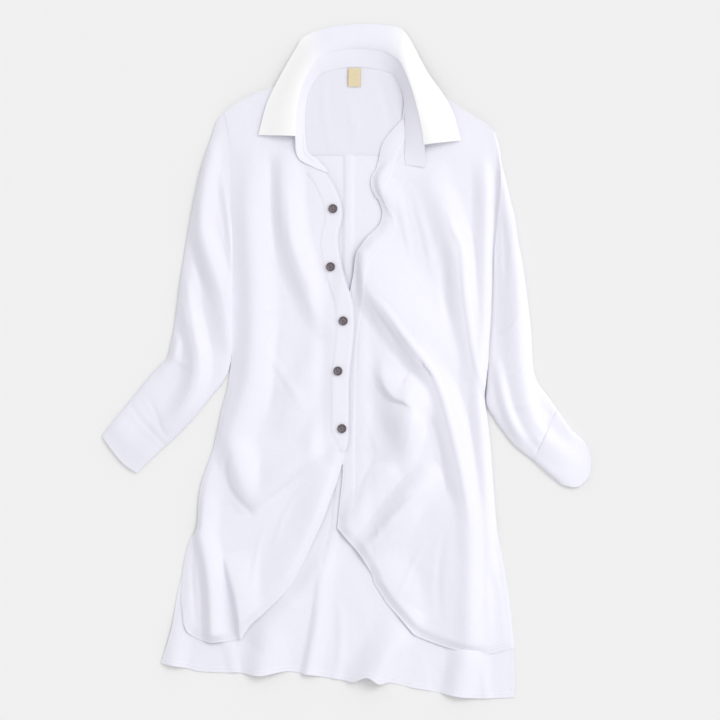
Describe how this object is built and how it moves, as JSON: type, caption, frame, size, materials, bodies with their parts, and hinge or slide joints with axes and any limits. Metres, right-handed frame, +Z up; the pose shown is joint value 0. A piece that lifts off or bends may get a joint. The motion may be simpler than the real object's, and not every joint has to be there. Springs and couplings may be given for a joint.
{
  "type": "linen shirt dress",
  "caption": "White linen shirt dress laid flat on its back, with five dark buttons, open front and spread collar.",
  "frame": {"origin": "middle of the garment's outline, on the surface it lies on", "axes": "+X to the viewer's right, where the garment's own left sleeve lies; +Y from the hem to the collar; +Z up from the surface"},
  "size_m": [0.7331, 1.0115, 0.0291],
  "materials": {
    "linen": "plain weave, matte",
    "button": "satin",
    "label": "matte"
  },
  "bodies": {
    "root": {"back": "linen", "yoke": "linen", "front_left": "linen", "front_right": "linen", "placket_left": "linen", "placket_right": "linen", "sleeve_left": "linen", "sleeve_right": "linen", "cuff_left": "linen", "cuff_right": "linen", "collar_band": "linen", "collar_leaf": "linen", "button_1": "button", "button_2": "button", "button_3": "button", "button_4": "button", "button_5": "button", "neck_label": "label"}
  },
  "joints": []
}
